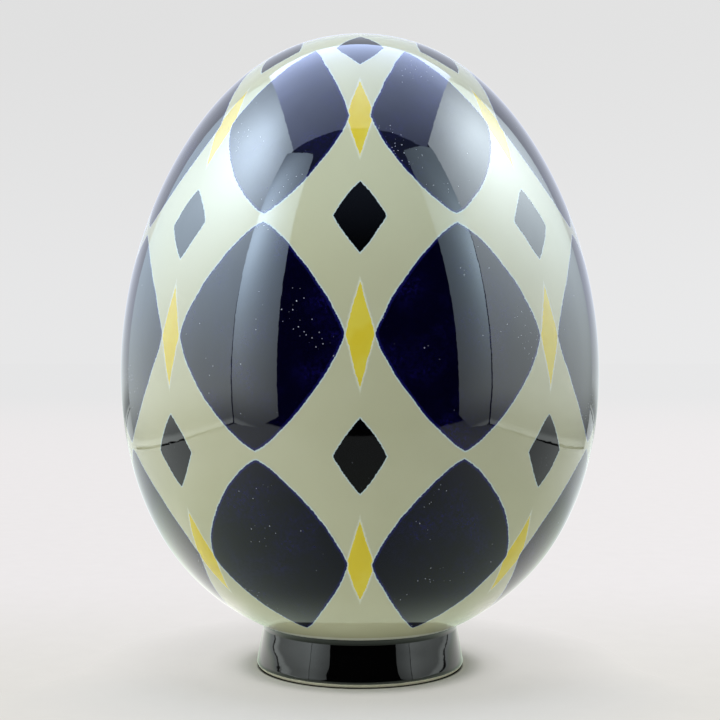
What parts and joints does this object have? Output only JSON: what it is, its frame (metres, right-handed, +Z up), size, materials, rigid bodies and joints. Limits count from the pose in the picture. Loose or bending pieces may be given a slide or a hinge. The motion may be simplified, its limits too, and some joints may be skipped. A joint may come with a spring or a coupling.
{
  "type": "footed ceramic egg",
  "caption": "Hollow glazed ceramic egg on a low flared foot ring; a free-standing ornament that rests on the ring's flat edge.",
  "frame": {"origin": "centre of the circle that the foot ring stands on, in the plane of its flat standing edge", "axes": "+Z up along the egg's axis of revolution, towards the crown; +X and +Y are level and, on a body of revolution, free"},
  "size_m": [0.181, 0.181, 0.24],
  "materials": {
    "egg_glaze": "glossy pale ivory glaze over a light body, with large dark blue fields, small yellow and black accents",
    "foot_glaze": "glossy black glaze, wiped off the standing edge, which shows the pale fired body",
    "joint_slip": "fired slip, black-glazed outside and satin inside the foot"
  },
  "bodies": {
    "root": {"egg_shell": "egg_glaze", "foot_ring": "foot_glaze", "luting_slip": "joint_slip"}
  },
  "joints": []
}
